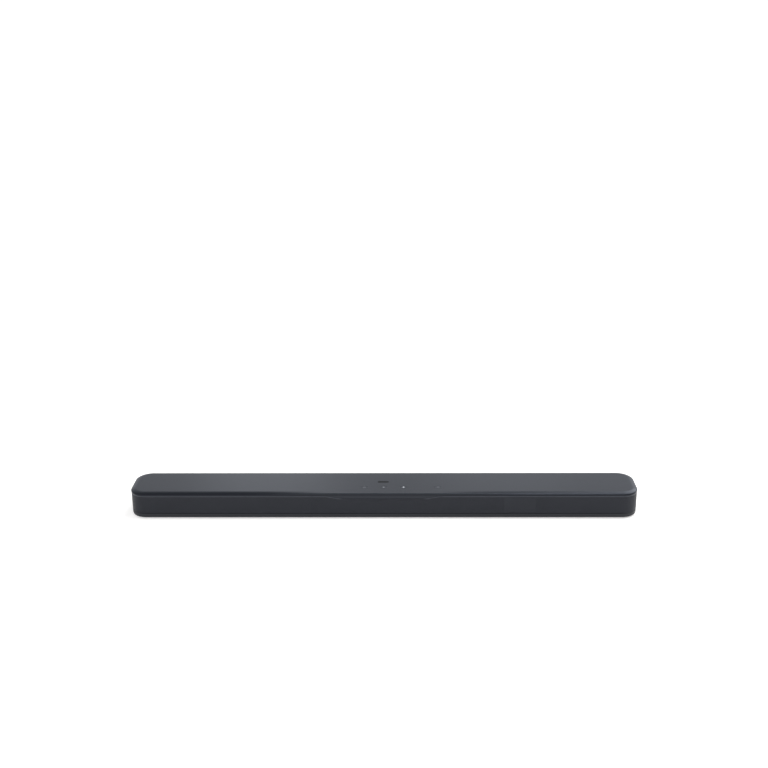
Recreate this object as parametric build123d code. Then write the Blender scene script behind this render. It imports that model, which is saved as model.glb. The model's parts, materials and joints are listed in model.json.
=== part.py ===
from build123d import *
import math
import os

# A long, low soundbar: a moulded top cover over a lower housing, with a wrap-round front grille.
# Millimetres. +Z is up and the origin is on the table, under the middle of the bar. The front faces -Y and the length
# runs along X. The rubber feet stand on Z = 0. Every piece is written to parts/NODE.step, one node for each sub-part.

# Overall size.
LENGTH = 1017.0
DEPTH = 103.5
HEIGHT = 56.0
CORNER_RADIUS = 32.0
FRONT_Y = -DEPTH / 2
BACK_Y = DEPTH / 2

# Shell.
FOOT_HEIGHT = 2.0
WALL = 2.5
HOUSING_INSET = 0.4  # the cover overhangs the housing and the grille by this much
SEAM_Z = 49.7
SEAM_GAP = 0.6
COVER_EDGE_Z = SEAM_Z + SEAM_GAP / 2
COVER_WALL = 2.4
COVER_ROOF = 2.6
BEVEL_RUN = 9.5
BEVEL_DROP = 2.8
ROOF_UNDERSIDE_Z = HEIGHT - COVER_ROOF
TONGUE_INSET = 3.1
TONGUE_WALL = 1.3
TONGUE_Z = 47.2
FLOOR_TOP_Z = FOOT_HEIGHT + WALL
LIP_Z = 11.0
BOTTOM_EDGE_RADIUS = 3.5
GRILLE_END_Y = 20.0  # the grille wraps round the front and both ends as far back as this

# The front edge's middle: a crisp brow above, and an apron that dips into the grille.
BROW_HALF = 250.0
APRON_HALF = 118.0
APRON_FLAT_HALF = 78.0
APRON_Z = 44.6

# Grille and the cloth behind it.
GRILLE_THICK = 0.8
GRILLE_BOTTOM_Z = LIP_Z + 0.6
GRILLE_TOP_Z = SEAM_Z - SEAM_GAP / 2
SCRIM_INSET = 1.5
SCRIM_THICK = 0.4

# Baffle that carries the drivers.
BAFFLE_INSET = 8.0
BAFFLE_THICK = 3.0
BAFFLE_FRONT_Y = FRONT_Y + BAFFLE_INSET
BAFFLE_BACK_Y = BAFFLE_FRONT_Y + BAFFLE_THICK
BAFFLE_BOTTOM_Z = FLOOR_TOP_Z + 0.1
BAFFLE_TOP_Z = 51.9
BAFFLE_END_Y = 30.0
DRIVER_Z = 29.0

# Racetrack woofers.
WOOFER_X = {"outer_left": -360.0, "inner_left": -150.0, "inner_right": 150.0, "outer_right": 360.0}
FLANGE_W, FLANGE_H, FLANGE_THICK, FLANGE_CORNER = 92.0, 44.0, 2.0, 6.0
CONE_HOLE_W, CONE_HOLE_H = 78.0, 36.0  # opening of the frame, where the surround ends
CONE_W, CONE_H = 64.0, 22.0
CONE_THICK = 0.8
BASKET_W, BASKET_H = 84.0, 40.0
BASKET_BACK_W, BASKET_BACK_H = 46.0, 38.0
BASKET_DEPTH = 14.0
BASKET_WALL = 1.6
BASKET_PLATE = 2.0
MOTOR_RADIUS, MOTOR_DEPTH = 17.0, 14.0
COIL_RADIUS = 10.0
COIL_WALL = 0.5
COIL_GAP = 0.6
SURROUND_THICK = 0.7
SURROUND_RISE = 2.2
FRAME_FACE_Y = BAFFLE_FRONT_Y - FLANGE_THICK
CONE_RIM_Y = FRAME_FACE_Y + 2.6
BASKET_BACK_Y = BAFFLE_FRONT_Y + BASKET_DEPTH
FRAME_SCREWS = (41.3, 18.3)

# Dome tweeters.
TWEETER_X = {"left": -440.0, "centre": 0.0, "right": 440.0}
TWEETER_PLATE, TWEETER_PLATE_CORNER = 36.0, 8.0
DOME_RADIUS = 9.5
TWEETER_CAN_RADIUS = 12.5
TWEETER_SCREWS = (13.6, 13.6)

# Housing screws: each runs up from a boss in the tray, through a spacer, into a boss under the cover.
SCREW_SPOTS = [(x, 38.0) for x in (-465.0, -310.0, -155.0, 155.0, 310.0, 465.0)]
SCREW_SPOTS += [(x, -28.0) for x in (-486.0, -228.0, 228.0, 486.0)]
BOSS_RADIUS = 4.5
SPACER_RADIUS = 4.0
TRAY_BOSS_Z = 12.0
COVER_BOSS_Z = 46.6
SCREW_HEAD_Z = 10.0
SCREW_RADIUS = 1.45
PILOT_RADIUS = 1.5

# Rear wall: two plates with the socket windows, between two ends that turn the corners.
REAR_JOINT_X = 300.0
PLATE_JOINT_X = -140.0
REAR_JOINT_GAP = 0.3

# Wall-mount inserts in the rear wall's ends, for M4 screws.
INSERT_X = 350.0
INSERT_Z = 29.0
INSERT_LENGTH = 10.0
INSERT_RADIUS = 3.0
INSERT_FACE_Y = BACK_Y - HOUSING_INSET
M4_CORE_RADIUS = 1.65

# Feet.
FOOT_X, FOOT_Y = 380.0, 32.0
FOOT_LENGTH, FOOT_WIDTH = 64.0, 14.0
FOOT_POCKET = 0.6

# Top buttons and the blank badge behind them.
BUTTON_Y = -23.0
BUTTON_X = {"power": -37.5, "volume_down": 1.0, "volume_up": 41.0, "source": 109.0}
BUTTON_W, BUTTON_D = 15.0, 8.0
BUTTON_CLEARANCE = 0.3
BUTTON_TRAVEL = 0.6
BADGE_W, BADGE_D, BADGE_Y = 23.0, 8.0, 2.0
BADGE_DEPTH = 0.8
BUTTON_POST_X = (-18.0, 75.0)  # posts under the cover that carry the button board
SWITCH_TOP_Z = 49.8
SWITCH_HEIGHT = 2.6
BOARD_THICK = 1.6

# Display behind the right half of the grille.
DISPLAY_X0, DISPLAY_X1 = 241.5, 303.5
DISPLAY_Z0, DISPLAY_Z1 = 14.5, 45.0

# Recesses in the back for the sockets.
RECESS_DEPTH = 20.0
RECESS_WALL = 2.0
IO_X, IO_W, IO_Z0, IO_Z1 = 0.0, 148.0, 12.5, 45.5
MAINS_X, MAINS_W, MAINS_Z0, MAINS_Z1 = -230.0, 46.0, 12.5, 45.5
PANEL_FACE_Y = BACK_Y - HOUSING_INSET - RECESS_DEPTH
PANEL_BACK_Y = PANEL_FACE_Y - RECESS_WALL

# Boards.
MAIN_BOARD_Z = 16.0
SIDE_BOARD_Z = 12.0

# Standoffs for the boards: x, y and the height of the board's underside.
BOARD_POSTS = [(x, y, MAIN_BOARD_Z) for x in (-82.0, 82.0) for y in (2.0, 22.0)]
BOARD_POSTS += [(x, y, SIDE_BOARD_Z) for x in (-388.0, -212.0) for y in (0.0, 24.0)]
BOARD_POSTS += [(x, y, SIDE_BOARD_Z) for x in (138.0, 288.0) for y in (0.0, 24.0)]

# Remote eye beside the display.
EYE_X = DISPLAY_X0 - 14.0

# Sockets on the main board: x of the middle, width and height. They stand on the board.
SOCKET_BASE_Z = MAIN_BOARD_Z + BOARD_THICK
OPTICAL = (-58.0, 10.0, 10.0)
HDMI = [(-33.0, 15.2, 5.8), (-8.0, 15.2, 5.8)]
USB = (18.0, 13.4, 6.6)
ETHERNET = (46.0, 16.0, 13.6)
INLET = (MAINS_X, 26.0, 17.0)
INLET_Z = 28.0
SOCKET_FACE_Y = PANEL_FACE_Y + 0.6
SOCKET_BACK_Y = PANEL_BACK_Y - 10
SHUTTER_HINGE_DROP = 1.6

# Speaker leads.
LEAD_RADIUS = 1.2
LEAD_FLOOR_Z = FLOOR_TOP_Z + 3.0
TERMINAL_Y = -5.5
TERMINAL_Z = SIDE_BOARD_Z + BOARD_THICK + 3.0

# Each driver's x, the y of its back, its lane along the floor and its place on the terminal block.
WOOFER_BACK_Y = BASKET_BACK_Y + MOTOR_DEPTH
TWEETER_BACK_Y = BAFFLE_FRONT_Y + 13.1
LEADS = [
    (TWEETER_X["left"], TWEETER_BACK_Y, -18.2, 236.0),
    (WOOFER_X["outer_left"], WOOFER_BACK_Y, -15.4, 240.0),
    (WOOFER_X["inner_left"], WOOFER_BACK_Y, -12.6, 244.0),
    (TWEETER_X["centre"], TWEETER_BACK_Y, -9.8, 248.0),
    (WOOFER_X["inner_right"], WOOFER_BACK_Y, -21.0, 252.0),
    (WOOFER_X["outer_right"], WOOFER_BACK_Y, -18.2, 256.0),
    (TWEETER_X["right"], TWEETER_BACK_Y, -21.0, 260.0),
]


def block(x0, x1, y0, y1, z0, z1):
    """A box between two corners."""
    return Pos((x0 + x1) / 2, (y0 + y1) / 2, (z0 + z1) / 2) * Box(x1 - x0, y1 - y0, z1 - z0)


def post(x, y, z0, z1, radius):
    """An upright cylinder."""
    return Pos(x, y, (z0 + z1) / 2) * Cylinder(radius, z1 - z0)


def rod_y(x, z, y0, y1, radius):
    """A cylinder lying along Y."""
    return Pos(x, (y0 + y1) / 2, z) * Rot(90, 0, 0) * Cylinder(radius, y1 - y0)


def plan_prism(inset, z0, z1):
    """The bar's plan outline, moved in by inset, as an upright prism."""
    outline = RectangleRounded(LENGTH - 2 * inset, DEPTH - 2 * inset, CORNER_RADIUS - inset)
    return Pos(0, 0, z0) * extrude(outline, z1 - z0)


def plan_ring(inset, thick, z0, z1):
    """A wall of that thickness that follows the plan outline."""
    return plan_prism(inset, z0, z1) - plan_prism(inset + thick, z0 - 1, z1 + 1)


def beyond(y):
    """Everything behind the plane at that Y."""
    return block(-LENGTH, LENGTH, y, 2 * DEPTH, -HEIGHT, 2 * HEIGHT)


def facing_front(sketch, y0, y1):
    """A sketch drawn as seen from the front, X across and Z up, extruded from y0 back to y1."""
    return Pos(0, y1, 0) * extrude(Plane.XZ * sketch, y1 - y0)


def slot_prism(x, z, width, height, y0, y1):
    """A racetrack prism along Y."""
    return facing_front(Pos(x, z) * SlotOverall(width, height), y0, y1)


def bevelled(prism, run, drop):
    """Takes the edge off the top of a plan prism: run is measured across the top and drop down the side."""
    roof = prism.faces().sort_by(Axis.Z)[-1]
    return chamfer(roof.edges(), length=run, length2=drop, reference=roof)


def apron_outline(gap):
    """What lies above the dipping edge in the front's middle, moved down by gap."""
    low, high = APRON_Z - gap, COVER_EDGE_Z - gap
    middle = (APRON_HALF + APRON_FLAT_HALF) / 2
    left = Bezier((-APRON_HALF, high), (-middle, high), (-middle, low), (-APRON_FLAT_HALF, low))
    right = Bezier((APRON_FLAT_HALF, low), (middle, low), (middle, high), (APRON_HALF, high))
    bottom = Line(left @ 1, right @ 0)
    top = Polyline(right @ 1, (APRON_HALF, HEIGHT - 4), (-APRON_HALF, HEIGHT - 4), left @ 0)
    return make_face(left + bottom + right + top)


def brow():
    """The middle of the front edge, which keeps its crisp corner and fades into the bevel at both ends."""
    sweep_radius = (BROW_HALF**2 + BEVEL_RUN**2) / (2 * BEVEL_RUN)
    disc = Pos(0, FRONT_Y + sweep_radius, HEIGHT - 3) * Cylinder(sweep_radius, 6)
    corner = block(-BROW_HALF, BROW_HALF, FRONT_Y, FRONT_Y + BEVEL_RUN + 2, COVER_EDGE_Z, HEIGHT)
    return disc & corner


def top_cover():
    bevelled_top = bevelled(plan_prism(0, COVER_EDGE_Z, HEIGHT), BEVEL_RUN, BEVEL_DROP)
    side_break = [e for e in bevelled_top.edges() if abs(e.center().Z - (HEIGHT - BEVEL_DROP)) < 0.01]
    cover = fillet(side_break, 1.6)
    cover += brow()
    cavity_floor = COVER_EDGE_Z - 1
    cavity = bevelled(plan_prism(COVER_WALL, cavity_floor, ROOF_UNDERSIDE_Z), BEVEL_RUN, BEVEL_DROP)
    cover -= cavity
    cover += plan_ring(TONGUE_INSET, TONGUE_WALL, TONGUE_Z, ROOF_UNDERSIDE_Z - 1.6)
    cover += facing_front(apron_outline(0), FRONT_Y, FRONT_Y + COVER_WALL)
    for x, y in SCREW_SPOTS:
        cover += post(x, y, COVER_BOSS_Z, ROOF_UNDERSIDE_Z + 0.5, BOSS_RADIUS)
        cover -= post(x, y, COVER_BOSS_Z - 1, HEIGHT - 3.4, PILOT_RADIUS)
    for x in BUTTON_POST_X:
        cover += post(x, BUTTON_Y, SWITCH_TOP_Z - SWITCH_HEIGHT, ROOF_UNDERSIDE_Z + 0.5, 3)
        cover -= post(x, BUTTON_Y, 0, ROOF_UNDERSIDE_Z - 1, 1.05)
    for x in BUTTON_X.values():
        window = Pos(x, BUTTON_Y) * SlotOverall(BUTTON_W + 2 * BUTTON_CLEARANCE, BUTTON_D + 2 * BUTTON_CLEARANCE)
        cover -= Pos(0, 0, ROOF_UNDERSIDE_Z - 1) * extrude(window, COVER_ROOF + 2)
    badge = Pos(0, BADGE_Y) * SlotOverall(BADGE_W, BADGE_D)
    cover -= Pos(0, 0, HEIGHT - BADGE_DEPTH) * extrude(badge, 2)
    return cover


def badge_inlay():
    shape = Pos(0, BADGE_Y) * SlotOverall(BADGE_W - 0.1, BADGE_D - 0.1)
    return Pos(0, 0, HEIGHT - BADGE_DEPTH) * extrude(shape, BADGE_DEPTH)


def bottom_tray():
    """Floor with a low lip all round, bosses for the long screws and standoffs for the boards."""
    tray = plan_prism(HOUSING_INSET, FOOT_HEIGHT, LIP_Z)
    underside = tray.faces().sort_by(Axis.Z)[0]
    tray = fillet(underside.edges(), BOTTOM_EDGE_RADIUS)
    tray -= plan_prism(HOUSING_INSET + WALL, FLOOR_TOP_Z, HEIGHT)
    for x, y in SCREW_SPOTS:
        tray += post(x, y, FLOOR_TOP_Z - 1, TRAY_BOSS_Z, BOSS_RADIUS)
        tray -= post(x, y, 0, HEIGHT, SCREW_RADIUS + 0.25)
        tray -= post(x, y, 0, SCREW_HEAD_Z, 3.3)
    for x, y, board_z in BOARD_POSTS:
        tray += post(x, y, FLOOR_TOP_Z - 1, board_z, 3)
        tray -= post(x, y, FLOOR_TOP_Z, HEIGHT, 1.05)
    for x in (-FOOT_X, FOOT_X):
        for y in (-FOOT_Y, FOOT_Y):
            pocket = Pos(x, y) * SlotOverall(FOOT_LENGTH, FOOT_WIDTH)
            tray -= extrude(pocket, FOOT_HEIGHT + FOOT_POCKET)
    return tray


def rear_wall():
    """Upright wall round the back and both ends, with a tongue that stands inside the tray's lip."""
    wall = plan_ring(HOUSING_INSET, WALL, LIP_Z, GRILLE_TOP_Z)
    wall += plan_ring(HOUSING_INSET + WALL + 0.1, 1.4, LIP_Z - 3, LIP_Z + 2)
    wall += plan_ring(HOUSING_INSET + WALL - 0.2, 1.7, LIP_Z + 0.1, LIP_Z + 2)
    return wall & beyond(GRILLE_END_Y)


def rear_panel():
    """The straight stretch of the rear wall: a plate round the mains window and one round the signal window."""
    wall = rear_wall()
    for x, z0, z1, width in ((IO_X, IO_Z0, IO_Z1, IO_W), (MAINS_X, MAINS_Z0, MAINS_Z1, MAINS_W)):
        wall -= block(x - width / 2, x + width / 2, PANEL_FACE_Y, DEPTH, z0, z1)
        wall -= block(x - width / 2 - 4, x + width / 2 + 4, 0, BACK_Y - HOUSING_INSET - WALL, 0, HEIGHT)
    gap = REAR_JOINT_GAP / 2
    spans = ((-REAR_JOINT_X + gap, PLATE_JOINT_X - gap), (PLATE_JOINT_X + gap, REAR_JOINT_X - gap))
    return [wall & block(x0, x1, 0, DEPTH, 0, HEIGHT) for x0, x1 in spans]


def rear_ends():
    """The ends of the rear wall, which turn the corners and run forward to the grille. Each has an insert boss."""
    half = REAR_JOINT_X + REAR_JOINT_GAP / 2
    ends = []
    for x, span in ((-INSERT_X, (-LENGTH, -half)), (INSERT_X, (half, LENGTH))):
        end = rear_wall() & block(*span, 0, DEPTH, 0, HEIGHT)
        end += rod_y(x, INSERT_Z, INSERT_FACE_Y - INSERT_LENGTH - 2, INSERT_FACE_Y - 1, INSERT_RADIUS + 2.5)
        ends.append(end - rod_y(x, INSERT_Z, INSERT_FACE_Y - INSERT_LENGTH, DEPTH, INSERT_RADIUS + 0.02))
    return ends


def rubber_feet():
    pads = []
    for x in (-FOOT_X, FOOT_X):
        for y in (-FOOT_Y, FOOT_Y):
            pad = Pos(x, y) * SlotOverall(FOOT_LENGTH - 0.4, FOOT_WIDTH - 0.4)
            pads.append(extrude(pad, FOOT_HEIGHT + FOOT_POCKET))
    return pads


def housing_screws():
    screws = []
    for x, y in SCREW_SPOTS:
        head = post(x, y, SCREW_HEAD_Z - 2.2, SCREW_HEAD_Z, 2.8)
        drive = post(x, y, SCREW_HEAD_Z - 3, SCREW_HEAD_Z - 1.2, 1.3)
        screws.append(head - drive + post(x, y, SCREW_HEAD_Z, HEIGHT - 4, SCREW_RADIUS))
    return screws


def screw_spacers():
    """Tubes that hold the cover's bosses off the tray's."""
    return [post(x, y, TRAY_BOSS_Z, COVER_BOSS_Z, SPACER_RADIUS) - post(x, y, 0, HEIGHT, SCREW_RADIUS + 0.25)
            for x, y in SCREW_SPOTS]


def wall_mount_inserts():
    inserts = []
    for x in (-INSERT_X, INSERT_X):
        body = rod_y(x, INSERT_Z, INSERT_FACE_Y - INSERT_LENGTH, INSERT_FACE_Y, INSERT_RADIUS)
        inserts.append(body - rod_y(x, INSERT_Z, 0, DEPTH, M4_CORE_RADIUS))
    return inserts


def front_grille():
    wrap = plan_ring(HOUSING_INSET, GRILLE_THICK, GRILLE_BOTTOM_Z, GRILLE_TOP_Z) - beyond(GRILLE_END_Y - 0.3)
    return wrap - facing_front(apron_outline(SEAM_GAP), FRONT_Y - 1, FRONT_Y + 4)


def grille_scrim():
    cloth = plan_ring(SCRIM_INSET, SCRIM_THICK, GRILLE_BOTTOM_Z + 1, GRILLE_TOP_Z - 1) - beyond(GRILLE_END_Y - 2)
    cloth -= facing_front(apron_outline(SEAM_GAP + 1), FRONT_Y - 1, FRONT_Y + 4)
    return cloth - block(DISPLAY_X0, DISPLAY_X1, -DEPTH, 0, DISPLAY_Z0, DISPLAY_Z1)


def speaker_baffle():
    wall = plan_ring(BAFFLE_INSET, BAFFLE_THICK, BAFFLE_BOTTOM_Z, BAFFLE_TOP_Z) - beyond(BAFFLE_END_Y)
    y0, y1 = BAFFLE_FRONT_Y - 1, BAFFLE_BACK_Y + 1
    for x in WOOFER_X.values():
        wall -= slot_prism(x, DRIVER_Z, BASKET_W + 1.5, BASKET_H + 1.5, y0, y1)
        for dx, dz in corners(FRAME_SCREWS):
            wall -= rod_y(x + dx, DRIVER_Z + dz, y0, y1, 1.2)
    for x in TWEETER_X.values():
        wall -= rod_y(x, DRIVER_Z, y0, y1, TWEETER_CAN_RADIUS + 0.5)
        for dx, dz in corners(TWEETER_SCREWS):
            wall -= rod_y(x + dx, DRIVER_Z + dz, y0, y1, 1.2)
    wall -= block(DISPLAY_X0 + 2, DISPLAY_X1 - 2, y0, y1, DISPLAY_Z0 + 2, DISPLAY_Z1 - 2)
    return wall


def corners(half):
    """The four corners of a rectangle about its centre, from its half sizes."""
    return [(sx * half[0], sz * half[1]) for sx in (-1, 1) for sz in (-1, 1)]


def woofer_frames():
    return [woofer_frame(x) for x in WOOFER_X.values()]


def tweeter_frames():
    return [tweeter_frame(x) for x in TWEETER_X.values()]


def woofer_frame(x):
    """Flange, tapered basket with windows, and the plate that the motor hangs on."""
    outline = Pos(x, DRIVER_Z) * RectangleRounded(FLANGE_W, FLANGE_H, FLANGE_CORNER)
    frame = facing_front(outline, FRAME_FACE_Y, BAFFLE_FRONT_Y)
    frame -= slot_prism(x, DRIVER_Z, CONE_HOLE_W, CONE_HOLE_H, FRAME_FACE_Y - 1, BAFFLE_FRONT_Y + 1)
    for dx, dz in corners(FRAME_SCREWS):
        frame -= rod_y(x + dx, DRIVER_Z + dz, FRAME_FACE_Y - 1, BAFFLE_FRONT_Y + 1, 1.5)
    outer = taper(x, BASKET_W, BASKET_H, BASKET_BACK_W, BASKET_BACK_H)
    inner = taper(x, BASKET_W - 2 * BASKET_WALL, BASKET_H - 2 * BASKET_WALL,
                  BASKET_BACK_W - 2 * BASKET_WALL, BASKET_BACK_H - 2 * BASKET_WALL)
    basket = outer - inner
    for dx in (-17.0, 0.0, 17.0):
        basket -= block(x + dx - 6, x + dx + 6, BAFFLE_BACK_Y + 1, BASKET_BACK_Y - 3, 0, HEIGHT)
    plate = slot_prism(x, DRIVER_Z, BASKET_BACK_W, BASKET_BACK_H, BASKET_BACK_Y - BASKET_PLATE, BASKET_BACK_Y)
    plate -= rod_y(x, DRIVER_Z, BASKET_BACK_Y - 5, BASKET_BACK_Y + 1, COIL_RADIUS + 3)
    return frame + basket + plate


def taper(x, front_w, front_h, back_w, back_h):
    """A racetrack that narrows from the baffle's face to the back of a basket."""
    front = Pos(0, BAFFLE_FRONT_Y, 0) * (Plane.XZ * (Pos(x, DRIVER_Z) * SlotOverall(front_w, front_h)))
    back = Pos(0, BASKET_BACK_Y, 0) * (Plane.XZ * (Pos(x, DRIVER_Z) * SlotOverall(back_w, back_h)))
    return loft([front.faces()[0], back.faces()[0]], ruled=True)


def woofer_motors():
    """For each woofer, a steel cup, a magnet and a pole plate."""
    pieces = []
    cup_back = BASKET_BACK_Y + MOTOR_DEPTH
    for x in WOOFER_X.values():
        cup = rod_y(x, DRIVER_Z, BASKET_BACK_Y, cup_back, MOTOR_RADIUS)
        cup -= rod_y(x, DRIVER_Z, BASKET_BACK_Y - 1, cup_back - 3, COIL_RADIUS + COIL_WALL + COIL_GAP)
        magnet = rod_y(x, DRIVER_Z, BASKET_BACK_Y + 3, cup_back - 3, COIL_RADIUS - COIL_GAP - 1)
        pole = rod_y(x, DRIVER_Z, BASKET_BACK_Y, BASKET_BACK_Y + 3, COIL_RADIUS - COIL_GAP)
        pieces += [cup, magnet, pole]
    return pieces


def cone_taper(w, h, radius, y0, y1, x):
    """A racetrack rim that narrows to a circle."""
    rim = Pos(0, y0, 0) * (Plane.XZ * (Pos(x, DRIVER_Z) * SlotOverall(w, h)))
    neck = Pos(0, y1, 0) * (Plane.XZ * (Pos(x, DRIVER_Z) * SlotOverall(2 * radius + 1, 2 * radius)))
    return loft([rim.faces()[0], neck.faces()[0]], ruled=True)


def woofer_cone(x):
    """Paper cone with its dust cap, on the coil former."""
    neck_y = CONE_RIM_Y + 8.0
    outer = cone_taper(CONE_W, CONE_H, COIL_RADIUS, CONE_RIM_Y, neck_y, x)
    inner = cone_taper(CONE_W - 2 * CONE_THICK, CONE_H - 2 * CONE_THICK, COIL_RADIUS - CONE_THICK,
                       CONE_RIM_Y - 0.01, neck_y, x)
    cone = outer - inner
    former = rod_y(x, DRIVER_Z, neck_y - 0.4, BASKET_BACK_Y + 8, COIL_RADIUS + COIL_WALL / 2)
    former -= rod_y(x, DRIVER_Z, neck_y - 2, BASKET_BACK_Y + 9, COIL_RADIUS - COIL_WALL / 2)
    cap_radius = COIL_RADIUS - 0.6
    ball = (cap_radius**2 + 4**2) / (2 * 4)
    cap_y = neck_y - 1.0
    cap = Pos(x, cap_y - 4 + ball, DRIVER_Z) * (Sphere(ball) - Sphere(ball - 0.6))
    cap = cap & rod_y(x, DRIVER_Z, cap_y - 10, cap_y + 0.4, cap_radius + 0.2)
    return cone + former + cap


def woofer_surround(x):
    """Rubber half-roll from the frame's opening to the cone's rim."""
    ring = slot_prism(x, DRIVER_Z, CONE_HOLE_W + 4, CONE_HOLE_H + 4, FRAME_FACE_Y - 0.6, FRAME_FACE_Y)
    ring -= slot_prism(x, DRIVER_Z, CONE_HOLE_W - 2, CONE_HOLE_H - 2, FRAME_FACE_Y - 1, FRAME_FACE_Y + 1)
    crest_y = FRAME_FACE_Y - SURROUND_RISE
    roll = slot_prism(x, DRIVER_Z, CONE_HOLE_W - 0.4, CONE_HOLE_H - 0.4, crest_y, CONE_RIM_Y - 0.05)
    roll -= slot_prism(x, DRIVER_Z, CONE_W - 2, CONE_H - 2, crest_y - 1, CONE_RIM_Y + 1)
    hollow = slot_prism(x, DRIVER_Z, CONE_HOLE_W - 1.8, CONE_HOLE_H - 1.8, crest_y + SURROUND_THICK, CONE_RIM_Y + 1)
    hollow -= slot_prism(x, DRIVER_Z, CONE_W - 0.6, CONE_H - 0.6, crest_y, CONE_RIM_Y + 2)
    return ring + (roll - hollow)


def woofer_spiders():
    """The corrugated discs that centre the coils."""
    discs = []
    disc_y = BASKET_BACK_Y - BASKET_PLATE - 1.0
    for x in WOOFER_X.values():
        disc = rod_y(x, DRIVER_Z, disc_y, disc_y + 0.8, COIL_RADIUS + 5)
        discs.append(disc - rod_y(x, DRIVER_Z, disc_y - 1, disc_y + 2, COIL_RADIUS + COIL_WALL / 2 + 0.15))
    return discs


def tweeter_frame(x):
    """Square face plate with a shallow horn."""
    outline = Pos(x, DRIVER_Z) * RectangleRounded(TWEETER_PLATE, TWEETER_PLATE, TWEETER_PLATE_CORNER)
    plate = facing_front(outline, FRAME_FACE_Y, BAFFLE_FRONT_Y)
    horn_depth = FLANGE_THICK
    horn = Pos(x, FRAME_FACE_Y + horn_depth / 2, DRIVER_Z) * Rot(90, 0, 0) * Cone(
        DOME_RADIUS + 1.2, DOME_RADIUS + 5, horn_depth)
    plate -= horn
    for dx, dz in corners(TWEETER_SCREWS):
        plate -= rod_y(x + dx, DRIVER_Z + dz, FRAME_FACE_Y - 1, BAFFLE_FRONT_Y + 1, 1.5)
    can = rod_y(x, DRIVER_Z, BAFFLE_FRONT_Y, BAFFLE_FRONT_Y + 4, TWEETER_CAN_RADIUS)
    return plate + (can - rod_y(x, DRIVER_Z, BAFFLE_FRONT_Y - 1, BAFFLE_FRONT_Y + 5, DOME_RADIUS + 1.2))


def tweeter_dome(x):
    """Thin dome on its short coil former."""
    ball = (DOME_RADIUS**2 + 4**2) / (2 * 4)
    base_y = BAFFLE_FRONT_Y + 0.6
    shell = Pos(x, base_y - 4 + ball, DRIVER_Z) * (Sphere(ball) - Sphere(ball - 0.4))
    shell = shell & rod_y(x, DRIVER_Z, base_y - 10, base_y + 0.3, DOME_RADIUS)
    coil = rod_y(x, DRIVER_Z, base_y, base_y + 6, DOME_RADIUS - 0.2) - rod_y(
        x, DRIVER_Z, base_y - 1, base_y + 7, DOME_RADIUS - 0.7)
    return shell + coil


def tweeter_motors():
    """For each tweeter, a cup and a magnet."""
    pieces = []
    for x in TWEETER_X.values():
        y0 = BAFFLE_FRONT_Y + 4.1
        cup = rod_y(x, DRIVER_Z, y0, y0 + 9, TWEETER_CAN_RADIUS)
        cup -= rod_y(x, DRIVER_Z, y0 - 1, y0 + 7, DOME_RADIUS + 0.4)
        pieces += [cup, rod_y(x, DRIVER_Z, y0, y0 + 7, DOME_RADIUS - 1.2)]
    return pieces


def driver_screws():
    screws = []
    spots = [(x + dx, DRIVER_Z + dz) for x in WOOFER_X.values() for dx, dz in corners(FRAME_SCREWS)]
    spots += [(x + dx, DRIVER_Z + dz) for x in TWEETER_X.values() for dx, dz in corners(TWEETER_SCREWS)]
    for x, z in spots:
        head = rod_y(x, z, FRAME_FACE_Y - 1.4, FRAME_FACE_Y, 2.4)
        head -= rod_y(x, z, FRAME_FACE_Y - 2, FRAME_FACE_Y - 0.6, 1.0)
        screws.append(head + rod_y(x, z, FRAME_FACE_Y, BAFFLE_BACK_Y + 3, 1.15))
    return screws


def button(x):
    """Key cap that is flush with the cover, with a retaining rim below and a stem onto its switch."""
    cap = Pos(x, BUTTON_Y, ROOF_UNDERSIDE_Z - 0.5) * extrude(SlotOverall(BUTTON_W, BUTTON_D), COVER_ROOF + 0.5)
    crown = cap.faces().sort_by(Axis.Z)[-1]
    cap = fillet(crown.edges(), 0.3)
    rim = Pos(x, BUTTON_Y, ROOF_UNDERSIDE_Z - 1.1) * extrude(SlotOverall(BUTTON_W + 3, BUTTON_D + 3), 1.0)
    return cap + rim + post(x, BUTTON_Y, SWITCH_TOP_Z + BUTTON_TRAVEL + 0.1, ROOF_UNDERSIDE_Z - 0.5, 1.8)


def button_board():
    z1 = SWITCH_TOP_Z - SWITCH_HEIGHT
    board = block(BUTTON_X["power"] - 9, BUTTON_X["source"] + 9, BUTTON_Y - 7, BUTTON_Y + 7, z1 - BOARD_THICK, z1)
    for x in BUTTON_POST_X:
        board -= post(x, BUTTON_Y, 0, HEIGHT, 1.1)
    return board


def button_switches():
    z0 = SWITCH_TOP_Z - SWITCH_HEIGHT
    return [block(x - 3, x + 3, BUTTON_Y - 3, BUTTON_Y + 3, z0, SWITCH_TOP_Z - 0.7)
            + post(x, BUTTON_Y, z0 + 1, SWITCH_TOP_Z, 1.6) for x in BUTTON_X.values()]


def display_lens():
    y0 = FRONT_Y + SCRIM_INSET
    face = Pos((DISPLAY_X0 + DISPLAY_X1) / 2, (DISPLAY_Z0 + DISPLAY_Z1) / 2) * RectangleRounded(
        DISPLAY_X1 - DISPLAY_X0 - 0.4, DISPLAY_Z1 - DISPLAY_Z0 - 0.4, 2)
    return facing_front(face, y0, y0 + 1.5)


def display_module():
    """Light box behind the lens and the board that it stands on."""
    y0 = FRONT_Y + SCRIM_INSET + 1.5
    box = block(DISPLAY_X0 + 0.5, DISPLAY_X1 - 0.5, y0, BAFFLE_FRONT_Y, DISPLAY_Z0 + 0.5, DISPLAY_Z1 - 0.5)
    box += block(DISPLAY_X0 + 3, DISPLAY_X1 - 3, BAFFLE_FRONT_Y - 1, BAFFLE_BACK_Y + 2, DISPLAY_Z0 + 3, DISPLAY_Z1 - 3)
    return box


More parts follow.
